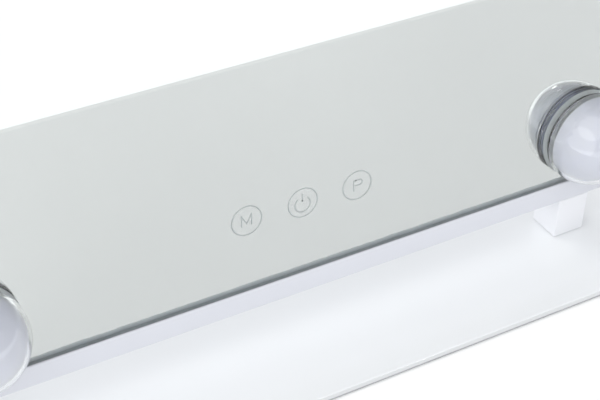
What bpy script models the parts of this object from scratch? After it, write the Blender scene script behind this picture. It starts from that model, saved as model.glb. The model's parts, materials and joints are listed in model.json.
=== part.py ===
"""Table-top vanity mirror: a lit, framed mirror that tilts on two short posts over a flat base plate.

Metres, +Z up, +Y away from the user. The origin is on the table, under the middle of the base plate.
The mirror head is modelled upright about its tilt axis and leans back through the tilt empty.
"""

import math

import bmesh
import bpy
from mathutils import Matrix, Vector

# Fits
GAP = 0.0003  # between pieces that touch
PIN_CLEARANCE = 0.00006  # radial, between a pivot pin and its holes
SCREW_CLEARANCE = 0.0003  # radial, round a screw shank

# Base plate and its feet
BASE_SIDE_OVERHANG = 0.0125  # base plate beyond the frame, each side
BASE_DEPTH = 0.190
BASE_THICKNESS = 0.003
BASE_CORNER_RADIUS = 0.010
BASE_CORNER_STEPS = 6
BASE_EDGE_ROUND = 0.0006
FOOT_RADIUS = 0.008
FOOT_THICKNESS = 0.0012
FOOT_INSET = 0.018

# Posts
LEG_SIDE = 0.018
LEG_HEIGHT = 0.0228
LEG_EDGE_ROUND = 0.0008
LEG_SETBACK = 0.0433  # base plate's front edge to the posts' front faces
LEG_INSET = 0.033  # frame's side face to a post's centre
LEG_SCREW_RADIUS = 0.0019
LEG_SCREW_HEAD_RADIUS = 0.0041
LEG_SCREW_HEAD_HEIGHT = 0.0021
LEG_SCREW_DEPTH = 0.010  # shank inside the post
LEG_SCREW_RECESS_RADIUS = 0.0015
LEG_SCREW_RECESS_DEPTH = 0.0017

# Tilt hinge
LEAN = math.radians(5)  # at rest, backwards from upright
PIVOT_ABOVE_LEG = 0.008
PIVOT_RISE = 0.005  # frame's lower face to the tilt axis
PIN_RADIUS = 0.0015
TONGUE_THICKNESS = 0.004
TONGUE_WIDTH = 0.0064
TONGUE_SEAT = 0.008  # depth of a tongue inside its post
TONGUE_SWING = 0.002  # free slot length beyond a tongue, each way
TONGUE_ROUND_STEPS = 10
CHEEK_THICKNESS = 0.003

# Frame
FRAME_WIDTH = 0.375
FRAME_HEIGHT = 0.515
FRAME_DEPTH = 0.026
RIM_WIDTH = 0.0106
RAIL_WALL = 0.0015
RAIL_EDGE_ROUND = 0.0007
RAIL_ROUND_STEPS = 3
LEDGE_WIDTH = 0.006
LEDGE_THICKNESS = 0.0015
KEY_ARM = 0.016

# Mirror and back panel
GLASS_THICKNESS = 0.004
PANEL_THICKNESS = 0.001
SET_BACK = 0.0003  # glass and panel below the rim's front and rear faces
PANEL_SCREW_RADIUS = 0.0012
PANEL_SCREW_LENGTH = 0.0046
PANEL_SCREW_HEAD_RADIUS = 0.0025
PANEL_SCREW_HEAD_HEIGHT = 0.0014
PANEL_SCREW_HEAD_CHAMFER = 0.0007
PANEL_SCREW_RECESS_RADIUS = 0.0010
PANEL_SCREW_RECESS_DEPTH = 0.0008
PANEL_SCREW_INSET = 0.060  # frame's top and bottom faces to the nearest screws

# Globe lights
SIDE_LIGHTS = 4
LIGHT_INSET = 0.0246  # glass edge to a globe's centre
GLOBE_RADIUS = 0.0225
GLOBE_WALL = 0.0016
GLOBE_STANDOFF = 0.0045  # glass face to a globe's centre
SEAT_HEIGHT = 0.0016
SEAT_RADIUS = 0.0215
GLASS_HOLE_RADIUS = 0.015
SEAT_BORE_RADIUS = 0.0125
LED_SIDE = 0.005
LED_HEIGHT = 0.0012
BOARD_WIDTH = 0.014
BOARD_THICKNESS = 0.0012
BOARD_END = 0.016  # board beyond its last light
TOP_BOARD_LENGTH = 0.110

# Controls and supply
TOUCH_HEIGHT = 0.0381  # glass's lower edge to the touch marks
TOUCH_BOARD = (0.078, 0.022)
DRIVER = (0.072, 0.012, 0.036)
DRIVER_EDGE_ROUND = 0.001
DRIVER_HEIGHT = 0.115  # frame's lower face to the driver's
JACK_PLACE = (0.060, 0.030)  # sideways, and up from the frame's lower face
JACK_NOSE_RADIUS = 0.004
JACK_PROUD = 0.0004  # nose beyond the rim's rear face
JACK_FLANGE_RADIUS = 0.006
JACK_FLANGE_THICKNESS = 0.0015
JACK_BODY_LENGTH = 0.009  # from the flange's rear face to the tail
JACK_BORE_RADIUS = 0.0028
JACK_BORE_DEPTH = 0.0085
JACK_PIN_RADIUS = 0.0009
JACK_PIN_RECESS = 0.0015
WIRE_RADIUS = 0.0012
WIRE_POINTS = 12  # along a lead's curve
LED_LEAD_REACH = 0.012  # how far a lead runs on before it bends
TOUCH_LEAD_REACH = 0.010
SUPPLY_LEAD_REACH = 0.009

# Facets round a full turn, and along a globe's quarter arcs
ROUND_STEPS = 16
GLOBE_STEPS = 16
GLOBE_OUTER_ARC_STEPS = 6
GLOBE_INNER_ARC_STEPS = 4

# Derived places
BASE_WIDTH = FRAME_WIDTH + 2 * BASE_SIDE_OVERHANG
BASE_BOTTOM = FOOT_THICKNESS + GAP
BASE_TOP = BASE_BOTTOM + BASE_THICKNESS
LEG_X = FRAME_WIDTH / 2 - LEG_INSET
LEG_Y = -BASE_DEPTH / 2 + LEG_SETBACK + LEG_SIDE / 2
LEG_TOP = BASE_TOP + GAP + LEG_HEIGHT
PIVOT = Vector((0, LEG_Y, LEG_TOP + PIVOT_ABOVE_LEG))
FRONT = -FRAME_DEPTH / 2
BACK = FRAME_DEPTH / 2
FRAME_BOTTOM = -PIVOT_RISE
FRAME_TOP = FRAME_BOTTOM + FRAME_HEIGHT
FRAME_MIDDLE = (FRAME_BOTTOM + FRAME_TOP) / 2
GLASS_FRONT = FRONT + SET_BACK
GLASS_BACK = GLASS_FRONT + GLASS_THICKNESS
GLASS_LEDGE = GLASS_BACK + GAP
PANEL_BACK = BACK - SET_BACK
PANEL_FRONT = PANEL_BACK - PANEL_THICKNESS
PANEL_LEDGE = PANEL_FRONT - GAP - LEDGE_THICKNESS
BOARD_FRONT = GLASS_BACK + GAP
BOARD_BACK = BOARD_FRONT + BOARD_THICKNESS
LIGHT_X = FRAME_WIDTH / 2 - RIM_WIDTH - LIGHT_INSET
LIGHT_LOW = FRAME_BOTTOM + RIM_WIDTH + LIGHT_INSET
LIGHT_HIGH = FRAME_TOP - RIM_WIDTH - LIGHT_INSET
SCREW_X = FRAME_WIDTH / 2 - RIM_WIDTH - LEDGE_WIDTH / 2
SIDES = {"left": -1, "right": 1}


def clear_scene():
    """Removes the objects that Blender starts with."""
    for obj in list(bpy.data.objects):
        bpy.data.objects.remove(obj, do_unlink=True)


def linear(hex_colour):
    """The linear colour of an sRGB hex value, with alpha 1."""
    parts = [int(hex_colour[i : i + 2], 16) / 255 for i in (1, 3, 5)]
    return [p / 12.92 if p <= 0.04045 else ((p + 0.055) / 1.055) ** 2.4 for p in parts] + [1.0]


def new_material(name, hex_colour, roughness, metallic=0.0, transmission=0.0):
    """A Principled material of one finish."""
    made = bpy.data.materials.new(name)
    made.use_nodes = True
    shader = made.node_tree.nodes["Principled BSDF"]
    shader.inputs["Base Color"].default_value = linear(hex_colour)
    shader.inputs["Roughness"].default_value = roughness
    shader.inputs["Metallic"].default_value = metallic
    shader.inputs["Transmission Weight"].default_value = transmission
    made.diffuse_color = linear(hex_colour)
    return made


clear_scene()
PARTS = bpy.data.collections.new("vanity_mirror")
CUTTERS = bpy.data.collections.new("cutters")
bpy.context.scene.collection.children.link(PARTS)
bpy.context.scene.collection.children.link(CUTTERS)

PAINT = new_material("powder_coated_frame", "#e6e9f0", 0.35)
BASE_PAINT = new_material("gloss_painted_steel", "#f2f5f7", 0.15)
MIRROR = new_material("silvered_glass", "#dbe2e1", 0.02, metallic=1.0)
OPAL = new_material("opal_globe", "#e6e6ef", 0.12)
CLEAR = new_material("clear_seat", "#dfe6e8", 0.05, transmission=0.9)
STEEL = new_material("zinc_plated_steel", "#b8bcc0", 0.3, metallic=1.0)
RUBBER = new_material("foot_rubber", "#2a2b2d", 0.85)
BOARD = new_material("circuit_board", "#f1f2ee", 0.45)
PLASTIC = new_material("moulded_plastic", "#1c1d20", 0.5)
SHEATH = new_material("wire_sheath", "#efefef", 0.5)

TILT = bpy.data.objects.new("tilt_axis", None)
TILT.location = PIVOT
TILT.rotation_euler = (-LEAN, 0, 0)
PARTS.objects.link(TILT)


def place(name, data, material, head=True, location=(0, 0, 0), rotation=(0, 0, 0)):
    """Adds a mesh or curve as a part; a head part hangs from the tilt axis."""
    obj = bpy.data.objects.new(name, data)
    PARTS.objects.link(obj)
    obj.location = location
    obj.rotation_euler = rotation
    if head:
        obj.parent = TILT
    data.materials.clear()
    data.materials.append(material)
    return obj


def as_cutter(name, data, location, head=True):
    """Adds a mesh as a hidden cutter."""
    obj = bpy.data.objects.new(name, data)
    CUTTERS.objects.link(obj)
    obj.location = location
    if head:
        obj.parent = TILT
    obj.hide_render = True
    obj.display_type = "WIRE"
    return obj


def cut(obj, *cutters):
    """Cuts each cutter from an object."""
    for cutter in cutters:
        modifier = obj.modifiers.new(f"cut_{cutter.name}", "BOOLEAN")
        modifier.operation = "DIFFERENCE"
        modifier.solver = "EXACT"
        modifier.object = cutter
    return obj


def bevel(obj, width, segments=2):
    """Rounds an object's sharp edges."""
    modifier = obj.modifiers.new("edge_round", "BEVEL")
    modifier.width = width
    modifier.segments = segments
    modifier.limit_method = "ANGLE"
    modifier.angle_limit = math.radians(50)
    return obj


def box_mesh(name, size):
    """A box about its own centre."""
    mesh = bpy.data.meshes.new(name)
    bm = bmesh.new()
    bmesh.ops.create_cube(bm, size=1, matrix=Matrix.Diagonal((*size, 1)))
    bm.to_mesh(mesh)
    bm.free()
    return mesh


def rod_mesh(name, radius, length, steps=ROUND_STEPS, axis="Z"):
    """A closed cylinder about its own centre."""
    turn = {"X": Matrix.Rotation(math.pi / 2, 4, "Y"), "Y": Matrix.Rotation(math.pi / 2, 4, "X")}
    mesh = bpy.data.meshes.new(name)
    bm = bmesh.new()
    bmesh.ops.create_cone(
        bm,
        cap_ends=True,
        segments=steps,
        radius1=radius,
        radius2=radius,
        depth=length,
        matrix=turn.get(axis, Matrix.Identity(4)),
    )
    bm.to_mesh(mesh)
    bm.free()
    return mesh


def block(name, low, high, material, head=True):
    """A box part between two opposite corners."""
    low, high = Vector(low), Vector(high)
    return place(name, box_mesh(name, high - low), material, head, location=(low + high) / 2)


def turned(name, profile, material, steps, closed, **where):
    """A part turned about its Z axis from a profile of (radius, height), listed down its outer side."""
    mesh = bpy.data.meshes.new(name)
    bm = bmesh.new()
    points = [bm.verts.new((radius, 0, height)) for radius, height in profile]
    for first, second in zip(points, points[1:] + points[:1] if closed else points[1:]):
        bm.edges.new((first, second))
    bm.to_mesh(mesh)
    bm.free()
    obj = place(name, mesh, material, **where)
    modifier = obj.modifiers.new("turned", "SCREW")
    modifier.steps = steps
    modifier.render_steps = steps
    modifier.use_merge_vertices = True
    modifier.merge_threshold = 0.00001
    modifier.use_smooth_shade = True
    return obj


def flat_outline(name, outlines, thickness):
    """A flat curve with the given outlines (the first is the outside), as thick as given about its plane."""
    curve = bpy.data.curves.new(name, "CURVE")
    curve.dimensions = "2D"
    curve.fill_mode = "BOTH"
    curve.extrude = thickness / 2
    for outline in outlines:
        spline = curve.splines.new("POLY")
        spline.points.add(len(outline) - 1)
        for point, (x, y) in zip(spline.points, outline):
            point.co = (x, y, 0, 1)
        spline.use_cyclic_u = True
    return curve


def mesh_of(curve):
    """The welded mesh of a curve, which replaces the curve."""
    guide = bpy.data.objects.new(curve.name, curve)
    PARTS.objects.link(guide)
    bpy.context.view_layer.update()
    graph = bpy.context.evaluated_depsgraph_get()
    mesh = bpy.data.meshes.new_from_object(guide.evaluated_get(graph))
    bm = bmesh.new()
    bm.from_mesh(mesh)
    bmesh.ops.remove_doubles(bm, verts=bm.verts, dist=0.000001)
    bm.to_mesh(mesh)
    bm.free()
    bpy.data.objects.remove(guide, do_unlink=True)
    bpy.data.curves.remove(curve)
    return mesh


def arc(centre, radius, start, end, steps):
    """Points along an arc, angles in degrees."""
    angles = [math.radians(start + (end - start) * i / steps) for i in range(steps + 1)]
    return [(centre[0] + radius * math.cos(a), centre[1] + radius * math.sin(a)) for a in angles]


def circle(centre, radius, steps):
    """Points round a circle."""
    return arc(centre, radius, 0, 360 * (steps - 1) / steps, steps - 1)


def light_places():
    """Each globe light's name and its place across and up the mirror."""
    pitch = (LIGHT_HIGH - LIGHT_LOW) / (SIDE_LIGHTS - 1)
    places = {}
    for side, sign in SIDES.items():
        for row in range(SIDE_LIGHTS):
            places[f"{side}_{row + 1}"] = (sign * LIGHT_X, LIGHT_LOW + row * pitch)
    places["top"] = (0, LIGHT_HIGH)
    return places


def panel_screw_places():
    """Each back panel screw's name and its place across and up the mirror."""
    heights = {
        "low": FRAME_BOTTOM + PANEL_SCREW_INSET,
        "mid": FRAME_MIDDLE,
        "high": FRAME_TOP - PANEL_SCREW_INSET,
    }
    return {
        f"{side}_{level}": (sign * SCREW_X, height)
        for side, sign in SIDES.items()
        for level, height in heights.items()
    }


def make_base():
    """Base plate with rounded corners and countersunk holes, on four rubber feet."""
    mesh = box_mesh("base_plate", (BASE_WIDTH, BASE_DEPTH, BASE_THICKNESS))
    bm = bmesh.new()
    bm.from_mesh(mesh)
    upright = [e for e in bm.edges if abs(e.verts[0].co.z - e.verts[1].co.z) > BASE_THICKNESS / 2]
    bmesh.ops.bevel(
        bm, geom=upright, offset=BASE_CORNER_RADIUS, segments=BASE_CORNER_STEPS, profile=0.5, affect="EDGES"
    )
    bm.to_mesh(mesh)
    bm.free()
    plate = place("base_plate", mesh, BASE_PAINT, False, (0, 0, BASE_BOTTOM + BASE_THICKNESS / 2))
    bevel(plate, BASE_EDGE_ROUND)
    for side, sign in SIDES.items():
        head_radius = LEG_SCREW_HEAD_RADIUS + SCREW_CLEARANCE
        hole_radius = LEG_SCREW_RADIUS + SCREW_CLEARANCE
        sink = bpy.data.meshes.new(f"sink_{side}")
        bm = bmesh.new()
        bmesh.ops.create_cone(
            bm,
            cap_ends=True,
            segments=ROUND_STEPS,
            radius1=2 * head_radius - hole_radius,
            radius2=hole_radius,
            depth=2 * LEG_SCREW_HEAD_HEIGHT,
        )
        bm.to_mesh(sink)
        bm.free()
        hole = rod_mesh(f"plate_hole_{side}", hole_radius, 3 * BASE_THICKNESS, ROUND_STEPS)
        centre = (sign * LEG_X, LEG_Y, BASE_BOTTOM)
        cut(plate, as_cutter(f"sink_{side}", sink, centre, head=False))
        cut(plate, as_cutter(f"plate_hole_{side}", hole, centre, head=False))
    for side, sign in SIDES.items():
        for end, way in {"front": -1, "rear": 1}.items():
            name = f"foot_{end}_{side}"
            x = sign * (BASE_WIDTH / 2 - FOOT_INSET)
            y = way * (BASE_DEPTH / 2 - FOOT_INSET)
            foot = rod_mesh(name, FOOT_RADIUS, FOOT_THICKNESS, ROUND_STEPS)
            place(name, foot, RUBBER, False, (x, y, FOOT_THICKNESS / 2))


def make_leg(side, sign):
    """A square post, slotted for its hinge tongue and bored for its screw, with the screw below it."""
    low = BASE_TOP + GAP
    half = LEG_SIDE / 2
    x = sign * LEG_X
    leg = block(f"leg_{side}", (x - half, LEG_Y - half, low), (x + half, LEG_Y + half, LEG_TOP), PAINT, False)
    bevel(leg, LEG_EDGE_ROUND)
    slot_depth = TONGUE_SEAT + GAP
    slot = box_mesh(
        f"leg_slot_{side}", (TONGUE_THICKNESS + 2 * GAP, TONGUE_WIDTH + 2 * GAP, 2 * slot_depth)
    )
    hole_depth = LEG_SCREW_DEPTH + GAP
    hole = rod_mesh(f"leg_hole_{side}", LEG_SCREW_RADIUS + SCREW_CLEARANCE, 2 * hole_depth, ROUND_STEPS)
    cut(
        leg,
        as_cutter(f"leg_slot_{side}", slot, (x, LEG_Y, LEG_TOP), head=False),
        as_cutter(f"leg_hole_{side}", hole, (x, LEG_Y, low), head=False),
    )
    head_top = LEG_SCREW_HEAD_HEIGHT
    tip = low + LEG_SCREW_DEPTH - BASE_BOTTOM
    profile = [
        (0, tip),
        (LEG_SCREW_RADIUS, tip),
        (LEG_SCREW_RADIUS, head_top),
        (LEG_SCREW_HEAD_RADIUS, 0),
        (LEG_SCREW_RECESS_RADIUS, 0),
        (LEG_SCREW_RECESS_RADIUS, LEG_SCREW_RECESS_DEPTH),
        (0, LEG_SCREW_RECESS_DEPTH),
    ]
    turned(
        f"leg_screw_{side}", profile, STEEL, ROUND_STEPS, False, head=False, location=(x, LEG_Y, BASE_BOTTOM)
    )


def make_hinge(side, sign):
    """A post's tongue, the pin through it and the yoke inside the frame that holds the pin."""
    x = sign * LEG_X
    half = TONGUE_WIDTH / 2
    foot = -PIVOT_ABOVE_LEG - TONGUE_SEAT
    outline = arc((0, 0), half, 0, 180, TONGUE_ROUND_STEPS) + [(-half, foot), (half, foot)]
    hole = circle((0, 0), PIN_RADIUS + PIN_CLEARANCE, ROUND_STEPS)
    tongue = mesh_of(flat_outline(f"hinge_tongue_{side}", [outline, hole], TONGUE_THICKNESS))
    upright = (math.pi / 2, 0, math.pi / 2)
    place(f"hinge_tongue_{side}", tongue, STEEL, False, (x, PIVOT.y, PIVOT.z), upright)

    inside = RIM_WIDTH - 2 * RAIL_WALL - 2 * GAP
    window = (TONGUE_THICKNESS + 2 * GAP, TONGUE_WIDTH + 2 * TONGUE_SWING, 2 * RIM_WIDTH)
    width = window[0] + 2 * CHEEK_THICKNESS
    depth = window[1] + 2 * CHEEK_THICKNESS
    middle = FRAME_BOTTOM + RIM_WIDTH / 2
    yoke = box_mesh(f"pivot_yoke_{side}", (width, depth, inside))
    yoke = place(f"pivot_yoke_{side}", yoke, STEEL, location=(x, 0, middle))
    gate = as_cutter(f"yoke_window_{side}", box_mesh(f"yoke_window_{side}", window), (x, 0, middle))
    bore = rod_mesh(f"yoke_bore_{side}", PIN_RADIUS + PIN_CLEARANCE, 2 * width, ROUND_STEPS, "X")
    cut(yoke, gate, as_cutter(f"yoke_bore_{side}", bore, (x, 0, 0)))
    pin = rod_mesh(f"pivot_pin_{side}", PIN_RADIUS, width - 2 * GAP, ROUND_STEPS, "X")
    place(f"pivot_pin_{side}", pin, STEEL, location=(x, 0, 0))
    slot = box_mesh(f"rail_slot_{side}", (window[0], window[1], 2 * RAIL_WALL))
    return as_cutter(f"rail_slot_{side}", slot, (x, 0, FRAME_BOTTOM))


def rail_mesh(name, length):
    """A hollow rail with a glass ledge and a panel ledge, mitred at both ends.

    The section lies in (inwards, back); each end point is drawn in by its distance from the outer face.
    """
    r = RAIL_EDGE_ROUND
    inner = RIM_WIDTH + LEDGE_WIDTH
    steps = RAIL_ROUND_STEPS
    outline = arc((r, FRONT + r), r, 180, 270, steps) + arc((RIM_WIDTH - r, FRONT + r), r, 270, 360, steps)
    for low in (GLASS_LEDGE, PANEL_LEDGE):
        high = low + LEDGE_THICKNESS
        outline += [(RIM_WIDTH, low), (inner, low), (inner, high), (RIM_WIDTH, high)]
    outline += arc((RIM_WIDTH - r, BACK - r), r, 0, 90, steps) + arc((r, BACK - r), r, 90, 180, steps)
    w = RAIL_WALL
    hollow = [(w, FRONT + w), (w, BACK - w), (RIM_WIDTH - w, BACK - w), (RIM_WIDTH - w, FRONT + w)]
    mesh = mesh_of(flat_outline(name, [outline, hollow], length))
    for vertex in mesh.vertices:
        inwards, back, along = vertex.co
        reach = length / 2 - inwards - GAP / 2
        vertex.co = (-math.copysign(reach, along), back, inwards)
    return mesh


def make_frame(rail_slots):
    """Four mitred rails round the glass, joined by corner keys inside their hollows."""
    quarter = math.pi / 2
    rails = {
        "bottom": (FRAME_WIDTH, (0, 0, FRAME_BOTTOM), 0),
        "left": (FRAME_HEIGHT, (-FRAME_WIDTH / 2, 0, FRAME_MIDDLE), quarter),
        "top": (FRAME_WIDTH, (0, 0, FRAME_TOP), 2 * quarter),
        "right": (FRAME_HEIGHT, (FRAME_WIDTH / 2, 0, FRAME_MIDDLE), 3 * quarter),
    }
    made = {}
    for name, (length, middle, turn) in rails.items():
        mesh = rail_mesh(f"frame_rail_{name}", length)
        made[name] = place(f"frame_rail_{name}", mesh, PAINT, location=middle, rotation=(0, turn, 0))
    cut(made["bottom"], *rail_slots)

    near = RAIL_WALL + GAP
    far = RIM_WIDTH - RAIL_WALL - GAP
    end = near + KEY_ARM
    outline = [(near, near), (end, near), (end, far), (far, far), (far, end), (near, end)]
    depth = FRAME_DEPTH - 2 * RAIL_WALL - 2 * GAP
    for up, (z, lift) in {"bottom": (FRAME_BOTTOM, 1), "top": (FRAME_TOP, -1)}.items():
        for side, sign in SIDES.items():
            name = f"corner_key_{up}_{side}"
            corner = [(-sign * across, lift * rise) for across, rise in outline]
            mesh = mesh_of(flat_outline(name, [corner], depth))
            place(name, mesh, STEEL, location=(sign * FRAME_WIDTH / 2, 0, z), rotation=(quarter, 0, 0))
    return made


def make_mirror(lights):
    """The silvered glass, with a hole behind each globe."""
    half_width = FRAME_WIDTH / 2 - RIM_WIDTH - GAP
    low = FRAME_BOTTOM + RIM_WIDTH + GAP
    high = FRAME_TOP - RIM_WIDTH - GAP
    glass = block("mirror_glass", (-half_width, GLASS_FRONT, low), (half_width, GLASS_BACK, high), MIRROR)
    for light, (x, z) in lights.items():
        hole = rod_mesh(f"glass_hole_{light}", GLASS_HOLE_RADIUS, 3 * GLASS_THICKNESS, ROUND_STEPS, "Y")
        cut(glass, as_cutter(f"glass_hole_{light}", hole, (x, (GLASS_FRONT + GLASS_BACK) / 2, z)))


def make_light(light, x, z):
    """An opal globe shell and the clear seat that clips it into the glass."""
    seat_front = SEAT_HEIGHT + GAP
    rim = seat_front + GAP - GLOBE_STANDOFF
    start = math.degrees(math.asin(rim / GLOBE_RADIUS))
    inner_radius = GLOBE_RADIUS - GLOBE_WALL
    inner_start = math.degrees(math.asin(rim / inner_radius))
    outer = arc((0, GLOBE_STANDOFF), GLOBE_RADIUS, 90, start, GLOBE_OUTER_ARC_STEPS)
    inner = arc((0, GLOBE_STANDOFF), inner_radius, inner_start, 90, GLOBE_INNER_ARC_STEPS)
    outer[0] = (0, outer[0][1])
    inner[-1] = (0, inner[-1][1])
    forwards = (math.pi / 2, 0, 0)
    where = {"location": (x, GLASS_FRONT, z), "rotation": forwards}
    turned(f"globe_{light}", outer + inner, OPAL, GLOBE_STEPS, False, **where)

    spigot = GLASS_HOLE_RADIUS - GAP
    depth = GLASS_THICKNESS - GAP
    lip = SEAT_HEIGHT / 2
    seat = [
        (SEAT_BORE_RADIUS, seat_front),
        (SEAT_RADIUS - lip, seat_front),
        (SEAT_RADIUS, seat_front - lip),
        (SEAT_RADIUS, GAP),
        (spigot, GAP),
        (spigot, -depth),
        (SEAT_BORE_RADIUS, -depth),
    ]
    turned(f"globe_seat_{light}", seat, CLEAR, GLOBE_STEPS, True, **where)


def make_led_board(name, ends, places):
    """A strip of circuit board behind the glass, with a raised light-emitting diode at each place."""
    (x0, z0), (x1, z1) = ends
    board = block(name, (x0, BOARD_FRONT, z0), (x1, BOARD_BACK, z1), BOARD)
    sunk = BOARD_THICKNESS / 2
    for index, (x, z) in enumerate(places):
        chip = box_mesh(f"{name}_chip_{index}", (LED_SIDE, LED_HEIGHT + sunk, LED_SIDE))
        centre = (x, BOARD_FRONT + (sunk - LED_HEIGHT) / 2, z)
        join = board.modifiers.new(f"chip_{index}", "BOOLEAN")
        join.operation = "UNION"
        join.solver = "EXACT"
        join.object = as_cutter(f"{name}_chip_{index}", chip, centre)


def make_lights(lights):
    """Every globe with its seat, and the three boards that light them."""
    for light, (x, z) in lights.items():
        make_light(light, x, z)
    for side, sign in SIDES.items():
        x = sign * LIGHT_X
        low = (x - BOARD_WIDTH / 2, LIGHT_LOW - BOARD_END)
        high = (x + BOARD_WIDTH / 2, LIGHT_HIGH + BOARD_END)
        places = [place for light, place in lights.items() if light.startswith(side)]
        make_led_board(f"led_board_{side}", (low, high), places)
    low = (-TOP_BOARD_LENGTH / 2, LIGHT_HIGH - BOARD_WIDTH / 2)
    high = (TOP_BOARD_LENGTH / 2, LIGHT_HIGH + BOARD_WIDTH / 2)
    make_led_board("led_board_top", (low, high), [lights["top"]])


def make_back(rails):
    """The back panel, the screws that hold it to the rails' ledges and the supply jack through it."""
    half_width = FRAME_WIDTH / 2 - RIM_WIDTH - GAP
    low = FRAME_BOTTOM + RIM_WIDTH + GAP
    high = FRAME_TOP - RIM_WIDTH - GAP
    panel = block("back_panel", (-half_width, PANEL_FRONT, low), (half_width, PANEL_BACK, high), PAINT)
    reach = 3 * (BACK - PANEL_LEDGE)
    for name, (x, z) in panel_screw_places().items():
        radius = PANEL_SCREW_RADIUS + SCREW_CLEARANCE
        hole = rod_mesh(f"panel_hole_{name}", radius, reach, ROUND_STEPS, "Y")
        cutter = as_cutter(f"panel_hole_{name}", hole, (x, BACK, z))
        cut(panel, cutter)
        cut(rails[name.split("_")[0]], cutter)
        head = PANEL_SCREW_HEAD_RADIUS
        top = PANEL_SCREW_HEAD_HEIGHT
        floor = top - PANEL_SCREW_RECESS_DEPTH
        profile = [
            (0, floor),
            (PANEL_SCREW_RECESS_RADIUS, floor),
            (PANEL_SCREW_RECESS_RADIUS, top),
            (head - PANEL_SCREW_HEAD_CHAMFER, top),
            (head, top - PANEL_SCREW_HEAD_CHAMFER),
            (head, GAP),
            (PANEL_SCREW_RADIUS, GAP),
            (PANEL_SCREW_RADIUS, -PANEL_SCREW_LENGTH),
            (0, -PANEL_SCREW_LENGTH),
        ]
        where = {"location": (x, PANEL_BACK, z), "rotation": (-math.pi / 2, 0, 0)}
        turned(f"panel_screw_{name}", profile, STEEL, ROUND_STEPS, False, **where)

    x, rise = JACK_PLACE
    place_z = FRAME_BOTTOM + rise
    hole = rod_mesh("jack_hole", JACK_NOSE_RADIUS + GAP, reach, ROUND_STEPS, "Y")
    cut(panel, as_cutter("jack_hole", hole, (x, BACK, place_z)))
    mouth = SET_BACK + JACK_PROUD
    flange = -PANEL_THICKNESS - GAP
    tail = flange - JACK_BODY_LENGTH
    floor = mouth - JACK_BORE_DEPTH
    profile = [
        (0, mouth - JACK_PIN_RECESS),
        (JACK_PIN_RADIUS, mouth - JACK_PIN_RECESS),
        (JACK_PIN_RADIUS, floor),
        (JACK_BORE_RADIUS, floor),
        (JACK_BORE_RADIUS, mouth),
        (JACK_NOSE_RADIUS, mouth),
        (JACK_NOSE_RADIUS, flange),
        (JACK_FLANGE_RADIUS, flange),
        (JACK_FLANGE_RADIUS, flange - JACK_FLANGE_THICKNESS),
        (JACK_NOSE_RADIUS, flange - JACK_FLANGE_THICKNESS),
        (JACK_NOSE_RADIUS, tail),
        (0, tail),
    ]
    where = {"location": (x, PANEL_BACK, place_z), "rotation": (-math.pi / 2, 0, 0)}
    turned("supply_jack", profile, PLASTIC, ROUND_STEPS, False, **where)
    return Vector((x, PANEL_BACK + tail, place_z))


def wire(name, start, start_way, end, end_way, reach):
    """A lead with a straight stub square to each end, and one cubic curve between the stubs."""
    start, end = Vector(start), Vector(end)
    start_way, end_way = Vector(start_way), Vector(end_way)
    stub = 2 * WIRE_RADIUS
    guides = (start + start_way * stub, start + start_way * reach, end + end_way * reach, end + end_way * stub)
    points = [start]
    for index in range(WIRE_POINTS):
        t = index / (WIRE_POINTS - 1)
        weights = ((1 - t) ** 3, 3 * t * (1 - t) ** 2, 3 * t**2 * (1 - t), t**3)
        points.append(sum((w * p for w, p in zip(weights, guides)), Vector()))
    points.append(end)
    curve = bpy.data.curves.new(name, "CURVE")
    curve.dimensions = "3D"
    curve.bevel_depth = WIRE_RADIUS
    curve.bevel_resolution = 1
    curve.use_fill_caps = True
    spline = curve.splines.new("POLY")
    spline.points.add(len(points) - 1)
    for place_on, at in zip(spline.points, points):
        place_on.co = (*at, 1)
    place(name, curve, SHEATH)


def make_controls(jack_tail):
    """The touch board behind the glass, the driver on the back panel and the leads between them."""
    touch_z = FRAME_BOTTOM + RIM_WIDTH + TOUCH_HEIGHT
    half_width, half_height = TOUCH_BOARD[0] / 2, TOUCH_BOARD[1] / 2
    low = (-half_width, BOARD_FRONT, touch_z - half_height)
    high = (half_width, BOARD_BACK, touch_z + half_height)
    block("touch_board", low, high, BOARD)

    width, depth, height = DRIVER
    driver_back = PANEL_FRONT - GAP
    driver_low = FRAME_BOTTOM + DRIVER_HEIGHT
    low = (-width / 2, driver_back - depth, driver_low)
    driver = block("light_driver", low, (width / 2, driver_back, driver_low + height), PLASTIC)
    bevel(driver, DRIVER_EDGE_ROUND)

    middle = driver_back - depth / 2
    down, forwards, back = (0, 0, -1), (0, -1, 0), (0, 1, 0)
    driver_middle = driver_low + height / 2
    for side, sign in SIDES.items():
        start = (sign * (width / 2 + GAP), middle, driver_middle)
        end = (sign * LIGHT_X, BOARD_BACK + GAP, driver_middle)
        wire(f"led_lead_{side}", start, (sign, 0, 0), end, back, LED_LEAD_REACH)
    start = (0, middle, driver_low - GAP)
    wire("touch_lead", start, down, (0, BOARD_BACK + GAP, touch_z), back, TOUCH_LEAD_REACH)
    start = (width / 4, middle, driver_low - GAP)
    wire("supply_lead", start, down, jack_tail + Vector((0, -GAP, 0)), forwards, SUPPLY_LEAD_REACH)


def make_vanity_mirror():
    """Builds the stand, then the head that tilts on it."""
    lights = light_places()
    make_base()
    rail_slots = []
    for side, sign in SIDES.items():
        make_leg(side, sign)
        rail_slots.append(make_hinge(side, sign))
    rails = make_frame(rail_slots)
    make_mirror(lights)
    make_lights(lights)
    jack_tail = make_back(rails)
    make_controls(jack_tail)


make_vanity_mirror()
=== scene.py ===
"""Looks of a table-top vanity mirror with globe lights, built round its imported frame.

Lengths are in metres and axes are the frame's own: +Z up, +X to the user's right, +Y away from the user.
The mirror head leans back about its tilt axis, so its pieces are worked out upright, in the head's own
axes, and then leaned.
"""

import json
import logging
import math
from dataclasses import dataclass
from enum import Enum

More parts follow.
